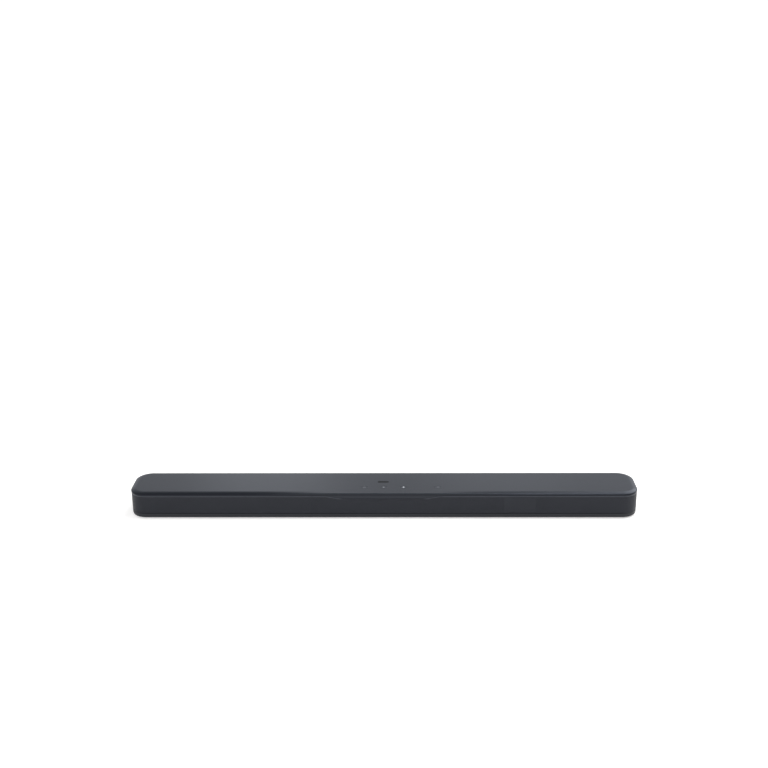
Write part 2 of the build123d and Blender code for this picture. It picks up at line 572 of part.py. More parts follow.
def infrared_eye():
    """Receiver for the remote control, in the baffle beside the display."""
    body = block(EYE_X - 4, EYE_X + 4, BAFFLE_FRONT_Y - 3, BAFFLE_FRONT_Y, DRIVER_Z - 5, DRIVER_Z + 5)
    dome = Pos(EYE_X, BAFFLE_FRONT_Y - 3, DRIVER_Z) * Sphere(2.8)
    return body + (dome & block(EYE_X - 4, EYE_X + 4, BAFFLE_FRONT_Y - 8, BAFFLE_FRONT_Y - 2, 0, HEIGHT))


def tub(x, width, z0, z1, windows):
    """A recess for plugs: four walls and a plate with a window for each socket, and a rim behind the back wall."""
    wall_y = BACK_Y - HOUSING_INSET
    x0, x1 = x - width / 2 + 0.15, x + width / 2 - 0.15
    shell = block(x0, x1, PANEL_BACK_Y, wall_y, z0 + 0.15, z1 - 0.15)
    t = RECESS_WALL
    shell -= block(x0 + t, x1 - t, PANEL_FACE_Y, DEPTH, z0 + 0.15 + t, z1 - 0.15 - t)
    rim = block(x0 - 3, x1 + 3, wall_y - WALL - 2, wall_y - WALL - 0.05, z0 - 3, z1 + 0.8)
    rim -= block(x0 + 0.5, x1 - 0.5, 0, DEPTH, z0 + 0.6, z1 - 0.6)
    shell += rim
    for wx, wz, w, h in windows:
        shell -= block(wx - w / 2 - 0.1, wx + w / 2 + 0.1, 0, PANEL_FACE_Y + 1, wz - h / 2 - 0.1, wz + h / 2 + 0.1)
    for sx, sz in panel_screw_spots(x, width, z0, z1):
        shell -= rod_y(sx, sz, 0, PANEL_FACE_Y + 1, 1.3)
    return shell


def panel_screw_spots(x, width, z0, z1):
    return [(x - width / 2 + 7, z1 - 7), (x + width / 2 - 7, z1 - 7)]


def on_board(spec):
    x, width, height = spec
    return (x, SOCKET_BASE_Z + height / 2, width, height)


def io_panel():
    windows = [on_board(s) for s in (OPTICAL, *HDMI, USB, ETHERNET)]
    return tub(IO_X, IO_W, IO_Z0, IO_Z1, windows)


def power_panel():
    return tub(MAINS_X, MAINS_W, MAINS_Z0, MAINS_Z1, [(MAINS_X, INLET_Z, INLET[1], INLET[2])])


def panel_screws():
    spots = panel_screw_spots(IO_X, IO_W, IO_Z0, IO_Z1) + panel_screw_spots(MAINS_X, MAINS_W, MAINS_Z0, MAINS_Z1)
    screws = []
    for x, z in spots:
        head = rod_y(x, z, PANEL_FACE_Y, PANEL_FACE_Y + 1.6, 2.6) - rod_y(x, z, PANEL_FACE_Y + 0.8, PANEL_FACE_Y + 3, 1.1)
        screws.append(head + rod_y(x, z, PANEL_BACK_Y - 4, PANEL_FACE_Y, 1.2))
    return screws


def socket_body(spec):
    x, z, width, height = on_board(spec)
    return block(x - width / 2, x + width / 2, SOCKET_BACK_Y, SOCKET_FACE_Y, z - height / 2, z + height / 2)


def hdmi_sockets():
    sockets = []
    for spec in HDMI:
        x, z, width, height = on_board(spec)
        mouth = Polyline((-7, 2.25), (7, 2.25), (7, -0.4), (5.2, -2.25), (-5.2, -2.25), (-7, -0.4), (-7, 2.25))
        hollow = facing_front(Pos(x, z) * make_face(mouth), SOCKET_FACE_Y - 9, SOCKET_FACE_Y + 1)
        tongue = block(x - 5, x + 5, SOCKET_FACE_Y - 9.5, SOCKET_FACE_Y - 1.5, z - 0.1, z + 0.9)
        sockets.append(socket_body(spec) - hollow + tongue)
    return sockets


def usb_socket():
    x, z, width, height = on_board(USB)
    hollow = block(x - 6.1, x + 6.1, SOCKET_FACE_Y - 10, SOCKET_FACE_Y + 1, z - 2.5, z + 2.5)
    tongue = block(x - 5.6, x + 5.6, SOCKET_FACE_Y - 10.5, SOCKET_FACE_Y - 1, z + 0.2, z + 1.9)
    return socket_body(USB) - hollow + tongue


def ethernet_socket():
    x, z, width, height = on_board(ETHERNET)
    hollow = block(x - 5.9, x + 5.9, SOCKET_FACE_Y - 11, SOCKET_FACE_Y + 1, z - 2.6, z + 4.6)
    notch = block(x - 3, x + 3, SOCKET_FACE_Y - 11, SOCKET_FACE_Y + 1, z - 4.2, z)
    return socket_body(ETHERNET) - hollow - notch


def optical_socket():
    """Square mouth with a pin hole for the shutter on each side."""
    x, z, width, height = on_board(OPTICAL)
    body = socket_body(OPTICAL)
    body -= block(x - 3.8, x + 3.8, SOCKET_FACE_Y - 9.5, SOCKET_FACE_Y + 1, z - 3.8, z + 3.8)
    hinge_z = z + 3.8 - SHUTTER_HINGE_DROP + 0.8
    pin = Pos(x, SOCKET_FACE_Y - 1.2, hinge_z) * Rot(0, 90, 0) * Cylinder(0.55, 8.6)
    return body - pin


def optical_shutter():
    """Flap that hangs from its pins and closes the mouth."""
    x, z, width, height = on_board(OPTICAL)
    hinge_z = z + 3.8 - SHUTTER_HINGE_DROP + 0.8
    hinge_y = SOCKET_FACE_Y - 1.2
    barrel = Pos(x, hinge_y, hinge_z) * Rot(0, 90, 0) * Cylinder(0.6, 7.2)
    pins = Pos(x, hinge_y, hinge_z) * Rot(0, 90, 0) * Cylinder(0.5, 8.4)
    flap = block(x - 3.6, x + 3.6, hinge_y - 0.5, hinge_y + 0.3, z - 3.6, hinge_z)
    return barrel + pins + flap


def mains_inlet():
    """Two-pin inlet with a figure-of-eight mouth."""
    x, z = MAINS_X, INLET_Z
    y0, y1 = PANEL_BACK_Y - 8, SOCKET_FACE_Y
    body = block(x - INLET[1] / 2, x + INLET[1] / 2, y0, y1, z - INLET[2] / 2, z + INLET[2] / 2)
    mouth = SlotOverall(16.6, 9.4)
    body -= facing_front(Pos(x, z) * mouth, y0 + 1.2, y1 + 1)
    for dx in (-4.3, 4.3):
        body += rod_y(x + dx, z, y0 + 0.5, y1 - 1.5, 1.2)
    return body


def main_board():
    z0 = MAIN_BOARD_Z
    board = block(-88, 88, -18, PANEL_BACK_Y - 0.3, z0, z0 + BOARD_THICK)
    return drilled(board, z0)


def drilled(board, z0):
    """The board with a hole over each of its standoffs."""
    for x, y, height in BOARD_POSTS:
        board -= post(x, y, z0 - 1, z0 + BOARD_THICK + 1, 1.3)
    return board


def board_shields():
    """Sheet-metal cans over the processor and the decoder."""
    z0 = MAIN_BOARD_Z + BOARD_THICK
    return [block(-62, -22, -12, 14, z0, z0 + 4), block(20, 52, -12, 12, z0, z0 + 4)]


def power_supply_board():
    board = block(-394, -206, -6, PANEL_BACK_Y - 0.3, SIDE_BOARD_Z, SIDE_BOARD_Z + BOARD_THICK)
    return drilled(board, SIDE_BOARD_Z)


def supply_transformer():
    """Ferrite core round a bobbin of copper wire."""
    z0 = SIDE_BOARD_Z + BOARD_THICK
    core = block(-326, -290, -2, 26, z0, z0 + 24) - block(-320, -296, -3, 27, z0 + 5, z0 + 19)
    winding = block(-319.8, -296.2, -4, 28, z0 + 5.2, z0 + 18.8)
    return [core, winding]


def supply_capacitors():
    z0 = SIDE_BOARD_Z + BOARD_THICK
    return [post(x, 12, z0, z0 + 25, 8) for x in (-370.0, -350.0)] + [post(-264, 12, z0, z0 + 20, 6.5)]


def amplifier_board():
    """Power-stage board with the terminal block that takes the speaker leads."""
    z0 = SIDE_BOARD_Z
    board = drilled(block(132, 294, -6, 31, z0, z0 + BOARD_THICK), z0)
    return board + block(234, 262, TERMINAL_Y, -1, z0 + BOARD_THICK - 0.2, z0 + BOARD_THICK + 6)


def amplifier_heatsink():
    """Aluminium base with upright fins."""
    z0 = SIDE_BOARD_Z + BOARD_THICK
    sink = block(160, 230, 2, 24, z0 + 2.2, z0 + 6)
    for k in range(8):
        fin_x = 162 + 9.4 * k
        sink += block(fin_x, fin_x + 1.8, 2, 24, z0 + 5, z0 + 20)
    for x in (164.0, 226.0):
        sink += block(x - 2, x + 2, 2, 24, z0, z0 + 3)
    return sink


def wireless_module():
    """Radio card in a can, with a printed antenna board."""
    card = block(416, 452, 4, 30, FLOOR_TOP_Z, FLOOR_TOP_Z + 2)
    return card + block(420, 440, 8, 26, FLOOR_TOP_Z + 2, FLOOR_TOP_Z + 5)


def board_screws():
    screws = []
    for x, y, z in BOARD_POSTS:
        top = z + BOARD_THICK
        screws.append(post(x, y, top, top + 1.6, 2.4) + post(x, y, z - 5, top, 1.0))
    for x in BUTTON_POST_X:
        under = SWITCH_TOP_Z - SWITCH_HEIGHT - BOARD_THICK
        screws.append(post(x, BUTTON_Y, under - 1.6, under, 2.2) + post(x, BUTTON_Y, under, under + 6, 1.0))
    return screws


def lead(points, radius):
    """A wire along straight runs joined by tangent arcs as large as the runs allow."""
    radii = []
    for a, b, c in zip(points, points[1:], points[2:]):
        va, vb = Vector(*b) - Vector(*a), Vector(*c) - Vector(*b)
        turn = math.radians(va.get_angle(vb))
        radii.append(0.45 * min(va.length, vb.length) / math.tan(turn / 2))
    path = FilletPolyline(*points, radius=radii)
    start = Plane(origin=path @ 0, z_dir=path % 0)
    return sweep(start * Circle(radius), path)


def speaker_leads():
    """From the back of each driver, down to its lane on the floor, along to the amplifier and up to the terminals."""
    leads = []
    for x, back_y, lane_y, end_x in LEADS:
        side = 1 if end_x > x else -1
        route = [(x, back_y, 22), (x, back_y + 6, 22), (x + side * 10, back_y + 6, 14)]
        route += [(x + side * 24, lane_y, LEAD_FLOOR_Z), (end_x - side * 12, lane_y, LEAD_FLOOR_Z)]
        route += [(end_x, lane_y, TERMINAL_Z), (end_x, TERMINAL_Y, TERMINAL_Z)]
        leads.append(lead(route, LEAD_RADIUS))
    return leads


def mains_lead():
    """From the inlet's tabs to the supply board."""
    y = PANEL_BACK_Y - 8
    return lead([(MAINS_X, y, INLET_Z), (MAINS_X, y - 6, INLET_Z), (MAINS_X, y - 10, INLET_Z - 6),
                 (MAINS_X, y - 10, SIDE_BOARD_Z + BOARD_THICK)], 2.0)


def display_ribbon():
    """Flat cable from the display's board to the amplifier board."""
    x = (DISPLAY_X0 + DISPLAY_X1) / 2
    flat = block(x - 8, x + 8, BAFFLE_BACK_Y + 2, -3.6, 24, 24.4)
    return flat + block(x - 8, x + 8, -4, -3.6, SIDE_BOARD_Z + BOARD_THICK, 24.4)


def write(name, shape):
    """Writes a node from one solid or a list of separate ones."""
    solids = shape if isinstance(shape, list) else [shape]
    found = [s for piece in solids for s in piece.solids()]
    export_step(Compound(children=found) if len(found) > 1 else found[0], f"parts/{name}.step")


def main():
    os.makedirs("parts", exist_ok=True)
    for maker in (top_cover, badge_inlay, bottom_tray, rear_panel, rear_ends, rubber_feet, housing_screws,
                  screw_spacers, wall_mount_inserts, front_grille, grille_scrim, speaker_baffle,
                  woofer_frames, woofer_motors, woofer_spiders, tweeter_frames, tweeter_motors,
                  driver_screws, button_board, button_switches, display_lens, display_module, infrared_eye,
                  io_panel, power_panel, panel_screws, hdmi_sockets, usb_socket, ethernet_socket, optical_socket,
                  optical_shutter, mains_inlet, main_board, board_shields, power_supply_board,
                  supply_transformer, supply_capacitors, amplifier_board, amplifier_heatsink,
                  wireless_module, board_screws, speaker_leads, mains_lead, display_ribbon):
        write(maker.__name__, maker())
    for name, x in WOOFER_X.items():
        write(f"{name}_woofer_cone", woofer_cone(x))
        write(f"{name}_woofer_surround", woofer_surround(x))
    for name, x in TWEETER_X.items():
        write(f"{name}_tweeter_dome", tweeter_dome(x))
    for name, x in BUTTON_X.items():
        write(f"{name}_button", button(x))


main()
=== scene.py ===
import json
import math

import bmesh
import bpy
import numpy as np
from mathutils import Matrix, Vector


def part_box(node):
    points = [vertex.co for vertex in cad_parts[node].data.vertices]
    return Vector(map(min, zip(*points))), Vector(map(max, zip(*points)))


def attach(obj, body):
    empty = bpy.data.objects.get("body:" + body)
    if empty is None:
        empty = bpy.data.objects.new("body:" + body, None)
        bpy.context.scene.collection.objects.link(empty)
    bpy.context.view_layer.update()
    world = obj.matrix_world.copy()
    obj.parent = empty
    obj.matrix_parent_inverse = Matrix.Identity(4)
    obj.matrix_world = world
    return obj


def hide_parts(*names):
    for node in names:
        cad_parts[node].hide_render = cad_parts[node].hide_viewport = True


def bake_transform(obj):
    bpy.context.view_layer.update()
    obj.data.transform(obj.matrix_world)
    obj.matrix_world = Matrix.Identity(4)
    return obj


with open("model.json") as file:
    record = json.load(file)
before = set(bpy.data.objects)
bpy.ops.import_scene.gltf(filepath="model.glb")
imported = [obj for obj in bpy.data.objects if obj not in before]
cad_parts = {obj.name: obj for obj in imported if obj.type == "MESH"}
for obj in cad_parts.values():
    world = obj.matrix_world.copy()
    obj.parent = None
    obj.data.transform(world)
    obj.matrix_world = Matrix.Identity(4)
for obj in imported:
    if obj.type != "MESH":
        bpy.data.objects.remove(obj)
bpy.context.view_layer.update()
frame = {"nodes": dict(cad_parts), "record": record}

MM = 0.001

# Sizes in millimetres, from the frame.
cover_low, cover_high = (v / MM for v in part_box("top_cover"))
LENGTH, DEPTH, TOP_Z = cover_high.x - cover_low.x, cover_high.y - cover_low.y, cover_high.z
CORNER = 32.0
HALF_STRAIGHT_X = LENGTH / 2 - CORNER
HALF_STRAIGHT_Y = DEPTH / 2 - CORNER
grille_low, grille_high = (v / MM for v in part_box("front_grille"))
GRILLE_INSET = cover_high.x - grille_high.x
GRILLE_END_Y = grille_high.y
GRILLE_BOTTOM, GRILLE_TOP = grille_low.z, grille_high.z
GRILLE_THICK = 0.8
SEAM_GAP = 0.6
COVER_WALL = 2.4
ROOF_THICK = 2.6
ROOF_UNDER_Z = TOP_Z - ROOF_THICK
KEY_RIM = 1.5  # the key caps are this much wider all round, under the cover
KEY_CLEARANCE = 0.3
BADGE_GROWTH = 0.1
KEY_BODIES = {name: name.replace("_button", "_key") for name in frame["nodes"] if name.endswith("_button")}


# ---------------------------------------------------------------- materials

def node_material(name):
    material = bpy.data.materials.new(name)
    material.use_nodes = True
    tree = material.node_tree
    return material, tree, tree.nodes["Principled BSDF"]


def noise(tree, scale, detail=3.0):
    where = tree.nodes.new("ShaderNodeTexCoord")
    texture = tree.nodes.new("ShaderNodeTexNoise")
    texture.inputs["Scale"].default_value = scale
    texture.inputs["Detail"].default_value = detail
    tree.links.new(where.outputs["Object"], texture.inputs["Vector"])
    return texture.outputs["Fac"]


def ramp(tree, value, low, high):
    node = tree.nodes.new("ShaderNodeMapRange")
    node.inputs["To Min"].default_value = low
    node.inputs["To Max"].default_value = high
    tree.links.new(value, node.inputs["Value"])
    return node.outputs["Result"]


def colour_between(tree, value, first, second):
    node = tree.nodes.new("ShaderNodeValToRGB")
    node.color_ramp.elements[0].position = 0.3
    node.color_ramp.elements[1].position = 0.7
    node.color_ramp.elements[0].color = (*first, 1)
    node.color_ramp.elements[1].color = (*second, 1)
    tree.links.new(value, node.inputs["Fac"])
    return node.outputs["Color"]


def bump(tree, shader, height, depth_mm):
    node = tree.nodes.new("ShaderNodeBump")
    node.inputs["Distance"].default_value = depth_mm * MM
    node.inputs["Strength"].default_value = 1.0
    tree.links.new(height, node.inputs["Height"])
    tree.links.new(node.outputs["Normal"], shader.inputs["Normal"])


def finish(name, colour, roughness, grain=2500.0, grain_mm=0.01, mottle=0.08, metallic=0.0,
           specular=0.5, tint=(1.0, 1.0, 1.0)):
    """A surface with slow drifts in its colour, and fine grain in its gloss and bump."""
    material, tree, shader = node_material(name)
    slow = noise(tree, 25, 4)
    fine = noise(tree, grain, 2)
    dark = tuple(c * (1 - mottle) for c in colour)
    light = tuple(c * (1 + mottle) for c in colour)
    tree.links.new(colour_between(tree, slow, dark, light), shader.inputs["Base Color"])
    tree.links.new(ramp(tree, fine, roughness - 0.04, roughness + 0.04), shader.inputs["Roughness"])
    shader.inputs["Metallic"].default_value = metallic
    shader.inputs["Specular IOR Level"].default_value = specular
    shader.inputs["Specular Tint"].default_value = (*tint, 1)
    bump(tree, shader, fine, grain_mm)
    return material


WAVE_PER_METRE = 0.314  # the wave texture's scale for one band in each metre


def woven(name, colour, pitch_mm, depth_mm, roughness=0.9):
    """Two crossing sets of threads."""
    material, tree, shader = node_material(name)
    where = tree.nodes.new("ShaderNodeTexCoord")
    heights = []
    for direction in ("X", "Z"):
        wave = tree.nodes.new("ShaderNodeTexWave")
        wave.bands_direction = direction
        wave.inputs["Scale"].default_value = WAVE_PER_METRE / (pitch_mm * MM)
        wave.inputs["Distortion"].default_value = 0.6
        tree.links.new(where.outputs["Object"], wave.inputs["Vector"])
        heights.append(wave.outputs["Fac"])
    mix = tree.nodes.new("ShaderNodeMath")
    mix.operation = "MULTIPLY"
    tree.links.new(heights[0], mix.inputs[0])
    tree.links.new(heights[1], mix.inputs[1])
    dark = tuple(c * 0.6 for c in colour)
    tree.links.new(colour_between(tree, mix.outputs["Value"], dark, colour), shader.inputs["Base Color"])
    gloss = ramp(tree, noise(tree, 900), roughness - 0.05, roughness + 0.05)
    tree.links.new(gloss, shader.inputs["Roughness"])
    bump(tree, shader, mix.outputs["Value"], depth_mm)
    return material


def laminate(name):
    """Green solder mask with faint tracks under it."""
    material, tree, shader = node_material(name)
    where = tree.nodes.new("ShaderNodeTexCoord")
    bricks = tree.nodes.new("ShaderNodeTexBrick")
    bricks.inputs["Scale"].default_value = 160
    bricks.inputs["Mortar Size"].default_value = 0.03
    bricks.inputs["Color1"].default_value = (0.010, 0.060, 0.024, 1)
    bricks.inputs["Color2"].default_value = (0.012, 0.075, 0.030, 1)
    bricks.inputs["Mortar"].default_value = (0.030, 0.140, 0.060, 1)
    tree.links.new(where.outputs["Object"], bricks.inputs["Vector"])
    tree.links.new(bricks.outputs["Color"], shader.inputs["Base Color"])
    tree.links.new(ramp(tree, noise(tree, 400), 0.25, 0.4), shader.inputs["Roughness"])
    bump(tree, shader, bricks.outputs["Fac"], 0.02)
    return material


def matt_lip(material, heights, levels):
    """Less sheen on the cover's narrow lower lip: the specular level at each height in millimetres."""
    tree = material.node_tree
    where = tree.nodes.new("ShaderNodeTexCoord")
    split = tree.nodes.new("ShaderNodeSeparateXYZ")
    span = tree.nodes.new("ShaderNodeMapRange")
    span.inputs["From Min"].default_value = heights[0] * MM
    span.inputs["From Max"].default_value = heights[-1] * MM
    curve = tree.nodes.new("ShaderNodeValToRGB")
    stops = curve.color_ramp.elements
    for height, level in zip(heights, levels):
        place = (height - heights[0]) / (heights[-1] - heights[0])
        if height == heights[0]:
            stop = stops[0]
        elif height == heights[-1]:
            stop = stops[-1]
        else:
            stop = stops.new(place)
        stop.position = place
        stop.color = (level, level, level, 1)
    tree.links.new(where.outputs["Object"], split.inputs["Vector"])
    tree.links.new(split.outputs["Z"], span.inputs["Value"])
    tree.links.new(span.outputs["Result"], curve.inputs["Fac"])
    tree.links.new(curve.outputs["Color"], tree.nodes["Principled BSDF"].inputs["Specular IOR Level"])


SMOKE = (0.80, 0.865, 1.0)  # the cool cast of the cover's and the grille's sheen
COVER = finish("cover_plastic", (0.0062, 0.0067, 0.0086), 0.30, grain=1800, grain_mm=0.003, mottle=0.06,
               specular=0.36, tint=SMOKE)
LIP_HEIGHTS = (44.0, 51.0, 51.7, 53.4, 54.4, 56.0)
LIP_LEVELS = (0.36, 0.33, 0.19, 0.19, 0.37, 0.37)
matt_lip(COVER, LIP_HEIGHTS, LIP_LEVELS)
GRILLE = finish("grille_paint", (0.0104, 0.0102, 0.0122), 0.45, grain=5000, grain_mm=0.004,
                specular=0.4, tint=SMOKE)
# Lighter grey on the grille's top hems beside the apron: a painted highlight for the seam under the cover
# catching light.
SEAM_HIGHLIGHT = finish("seam_painted_highlight", (0.045, 0.047, 0.054), 0.35, grain=5000, grain_mm=0.003, tint=SMOKE)
HOUSING = finish("housing_plastic", (0.0080, 0.0082, 0.0096), 0.5, grain=1500, grain_mm=0.02, specular=0.36,
                 tint=(0.88, 0.92, 1.0))
PANEL = finish("panel_plastic", (0.012, 0.012, 0.013), 0.55, grain=1500, grain_mm=0.02)
# Near-black on the grille's bottom hem: painted shade for the shadow gap above the housing's lip.
PAINTED_SHADE = finish("bottom_hem_painted_shade", (0.004, 0.004, 0.0045), 0.6, grain=3000, grain_mm=0.004, specular=0.15)
BLACK = finish("moulded_black", (0.010, 0.010, 0.011), 0.5, grain=1200, grain_mm=0.01)
BADGE = finish("badge_gloss", (0.004, 0.004, 0.0045), 0.5, grain=900, grain_mm=0.001, specular=0.12)
PRINT = finish("icon_print", (0.62, 0.63, 0.65), 0.6, grain=6000, grain_mm=0.004)
DIM_PRINT = finish("icon_print_dim", (0.16, 0.165, 0.175), 0.6, grain=6000, grain_mm=0.004)
RUBBER = finish("foot_rubber", (0.016, 0.016, 0.016), 0.82, grain=2200, grain_mm=0.03)
ROLL = finish("surround_rubber", (0.014, 0.014, 0.015), 0.62, grain=900, grain_mm=0.004)
SCREW = finish("blackened_steel", (0.10, 0.10, 0.105), 0.38, grain=3000, grain_mm=0.004, metallic=1.0)
STEEL = finish("plated_steel", (0.50, 0.50, 0.51), 0.3, grain=1800, grain_mm=0.004, metallic=1.0)
GOLD = finish("contact_gold", (0.83, 0.60, 0.22), 0.25, grain=3000, grain_mm=0.002, metallic=1.0)
BRASS = finish("insert_brass", (0.68, 0.47, 0.18), 0.33, grain=2500, grain_mm=0.006, metallic=1.0)
ALUMINIUM = finish("heatsink_aluminium", (0.70, 0.71, 0.73), 0.4, grain=1500, grain_mm=0.01, metallic=1.0)
FERRITE = finish("ferrite_core", (0.030, 0.028, 0.027), 0.6, grain=900, grain_mm=0.03)
SLEEVE = finish("capacitor_sleeve", (0.010, 0.018, 0.075), 0.28, grain=700, grain_mm=0.01)
LENS = finish("lens_smoke", (0.050, 0.052, 0.058), 0.3, grain=2000, grain_mm=0.001)
LEAD = finish("lead_insulation", (0.016, 0.016, 0.018), 0.5, grain=1500, grain_mm=0.01)
PAPER = finish("cone_paper", (0.020, 0.020, 0.021), 0.85, grain=1400, grain_mm=0.06, mottle=0.2)
CLOTH = woven("scrim_cloth", (0.010, 0.010, 0.011), 0.5, 0.08)
SILK = woven("dome_silk", (0.025, 0.025, 0.028), 0.35, 0.03, roughness=0.6)
SPIDER = woven("spider_cloth", (0.45, 0.30, 0.11), 0.7, 0.1)
BOARD = laminate("circuit_board")

SLOT_MATERIALS = {
    "cover_plastic": COVER, "badge_gloss": BADGE, "housing_plastic": HOUSING, "panel_plastic": PANEL,
    "foot_rubber": RUBBER, "screw_steel": SCREW, "insert_brass": BRASS, "grille_metal": GRILLE,
    "scrim_cloth": CLOTH, "baffle_plastic": BLACK, "driver_plastic": BLACK, "cone_paper": PAPER,
    "surround_rubber": ROLL, "dome_silk": SILK, "spider_cloth": SPIDER, "motor_steel": STEEL,
    "circuit_board": BOARD, "switch_plastic": BLACK, "lens_smoke": LENS, "socket_metal": STEEL,
    "inlet_plastic": BLACK, "ferrite_core": FERRITE, "capacitor_sleeve": SLEEVE,
    "heatsink_aluminium": ALUMINIUM, "lead_insulation": LEAD,
}


def dress_frame():
    """Gives every CAD node its material."""
    for entry in frame["record"]["subparts"]:
        node = frame["nodes"][entry["node"]]
        for slot in node.material_slots:
            slot.material = SLOT_MATERIALS[entry["material_slot"]]


# ---------------------------------------------------------------- mesh tools

def add_piece(name, vertices, faces, material, body="bar"):
    """A mesh piece, given in millimetres, that rides on a body unless that is None."""
    mesh = bpy.data.meshes.new(name)
    mesh.from_pydata((np.asarray(vertices, float) * MM).tolist(), [], faces)
    mesh.materials.append(material)
    piece = bpy.data.objects.new(name, mesh)
    bpy.context.scene.collection.objects.link(piece)
    if body:
        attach(piece, body)
    return piece


def smooth(piece, angle):
    """Smooth shading, broken at edges that turn more than an angle in degrees."""
    piece.data.shade_smooth()
    piece.data.set_sharp_from_angle(angle=math.radians(angle))


def weld(piece):
    """Joins doubled points, turns the faces outwards and smooths the piece."""
    grid = bmesh.new()
    grid.from_mesh(piece.data)
    bmesh.ops.remove_doubles(grid, verts=grid.verts, dist=1e-6)
    bmesh.ops.recalc_face_normals(grid, faces=grid.faces)
    grid.to_mesh(piece.data)
    grid.free()
    smooth(piece, 40)


def add_to(vertices, faces, more_vertices, more_faces):
    """Puts a second mesh after a first."""
    base = len(vertices)
    vertices += more_vertices
    faces += [tuple(base + i for i in face) for face in more_faces]


def bridge(first, second, count, closed=True):
    """Quads between two rings, or two open rows, of vertex numbers that start at first and second."""
    quads = []
    for k in range(count if closed else count - 1):
        n = (k + 1) % count
        quads.append((first + k, first + n, second + n, second + k))
    return quads


def rings_to_mesh(rings, caps=True):
    """Skins a stack of equal rings of points."""
    count = len(rings[0])
    vertices = [point for ring in rings for point in ring]
    faces = []
    for row in range(len(rings) - 1):
        faces += bridge(row * count, (row + 1) * count, count)
    if caps:
        faces.append(tuple(range(count))[::-1])
        faces.append(tuple((len(rings) - 1) * count + k for k in range(count)))
    return vertices, faces


def ribbon_faces(base, rows, count):
    """Faces of a closed ribbon: rows of points along it, one after the other from base, and its two ends."""
    faces = []
    for row in range(rows):
        faces += bridge(base + row * count, base + (row + 1) % rows * count, count, closed=False)
    faces.append(tuple(base + row * count for row in range(rows))[::-1])
    faces.append(tuple(base + row * count + count - 1 for row in range(rows)))
    return faces


def across_path(path):
    """The direction across a flat path at each of its points, one long."""
    along = np.gradient(path, axis=0)
    along /= np.linalg.norm(along, axis=1)[:, None]
    return np.stack([-along[:, 1], along[:, 0]], axis=1)


def slot_ring(cx, cy, width, height, steps=10):
    """Points round a racetrack, anticlockwise."""
    radius = height / 2
    half = width / 2 - radius
    points = []
    for side, start in ((1, -90), (-1, 90)):
        for k in range(steps + 1):
            a = math.radians(start + 180 * k / steps)
            points.append((cx + side * half + radius * math.cos(a), cy + radius * math.sin(a)))
    return points


# ---------------------------------------------------------------- cover

FINE_SPACING, FINE_HALF = 4.0, 300.0  # stations lie close together across the front's shaped middle
APRON_Z = 44.6
APRON_FLAT, APRON_END = 78.0, 118.0
BROW_FLAT, BROW_END = 90.0, 290.0
LIP_INSET = 0.45
ROLL_REACH, ROLL_RADIUS = 11.5, 24.5
KNEE_INSET = 1.2
BROW_FACET, BROW_RADIUS = 0.5, 0.9
CAP_INSET = 12.6


def rounded_stations():
    """Places round the plan, from the front's left end: the arc's centre, the way out and the side."""
    stations = []
    for x in front_stations():
        stations.append((x, -HALF_STRAIGHT_Y, 0.0, -1.0, "front"))
    stations += corner_stations(HALF_STRAIGHT_X, -HALF_STRAIGHT_Y, -90)
    for y in np.linspace(-HALF_STRAIGHT_Y, HALF_STRAIGHT_Y, 5):
        stations.append((HALF_STRAIGHT_X, y, 1.0, 0.0, "end"))
    stations += corner_stations(HALF_STRAIGHT_X, HALF_STRAIGHT_Y, 0)
    for x in np.linspace(HALF_STRAIGHT_X, -HALF_STRAIGHT_X, 25):
        stations.append((x, HALF_STRAIGHT_Y, 0.0, 1.0, "back"))
    stations += corner_stations(-HALF_STRAIGHT_X, HALF_STRAIGHT_Y, 90)
    for y in np.linspace(HALF_STRAIGHT_Y, -HALF_STRAIGHT_Y, 5):
        stations.append((-HALF_STRAIGHT_X, y, -1.0, 0.0, "end"))
    stations += corner_stations(-HALF_STRAIGHT_X, -HALF_STRAIGHT_Y, 180)
    return stations


def front_stations():
    """Places along the front, in millimetres from the middle."""
    middle = np.arange(-FINE_HALF, FINE_HALF + FINE_SPACING, FINE_SPACING)
    outer = np.linspace(-HALF_STRAIGHT_X, -FINE_HALF, 9)[:-1]
    return [*outer, *middle, *(-outer[::-1])]


def corner_stations(cx, cy, start):
    """Seventeen steps round a corner, without its two ends."""
    angles = [math.radians(start + 90 * k / 18) for k in range(1, 18)]
    return [(cx, cy, math.cos(a), math.sin(a), "corner") for a in angles]


def smooth_step(value, low, high):
    t = min(max((value - low) / (high - low), 0.0), 1.0)
    return t * t * (3 - 2 * t)


def seam_z(x):
    """Height of the cover's lower edge along the front, which dips to make the apron."""
    edge_z = GRILLE_TOP + SEAM_GAP
    return edge_z - (edge_z - APRON_Z) * (1 - smooth_step(abs(x), APRON_FLAT, APRON_END))


def lip_rows(edge_z):
    """The softened lower edge, as (inset, height)."""
    return [(COVER_WALL, edge_z), (LIP_INSET, edge_z), (0.12, edge_z + 0.15), (0.0, edge_z + 0.5)]


def roll_profile(edge_z):
    """Section of the cover as (inset, height): lip, tight arc, then a long shallow arc up to the flat top."""
    rows = lip_rows(edge_z)
    slope = math.asin((ROLL_REACH - KNEE_INSET) / ROLL_RADIUS)
    knee_z = TOP_Z - ROLL_RADIUS + ROLL_RADIUS * math.cos(slope)
    tight = KNEE_INSET / (1 - math.sin(slope))
    centre_z = knee_z - tight * math.cos(slope)
    for k in range(7):
        a = (math.pi / 2 - slope) * k / 6
        rows.append((tight * (1 - math.cos(a)), centre_z + tight * math.sin(a)))
    for k in range(1, 11):
        a = slope * (1 - k / 10)
        rows.append((ROLL_REACH - ROLL_RADIUS * math.sin(a), TOP_Z - ROLL_RADIUS + ROLL_RADIUS * math.cos(a)))
    rows.append((CAP_INSET, TOP_Z))
    return rows


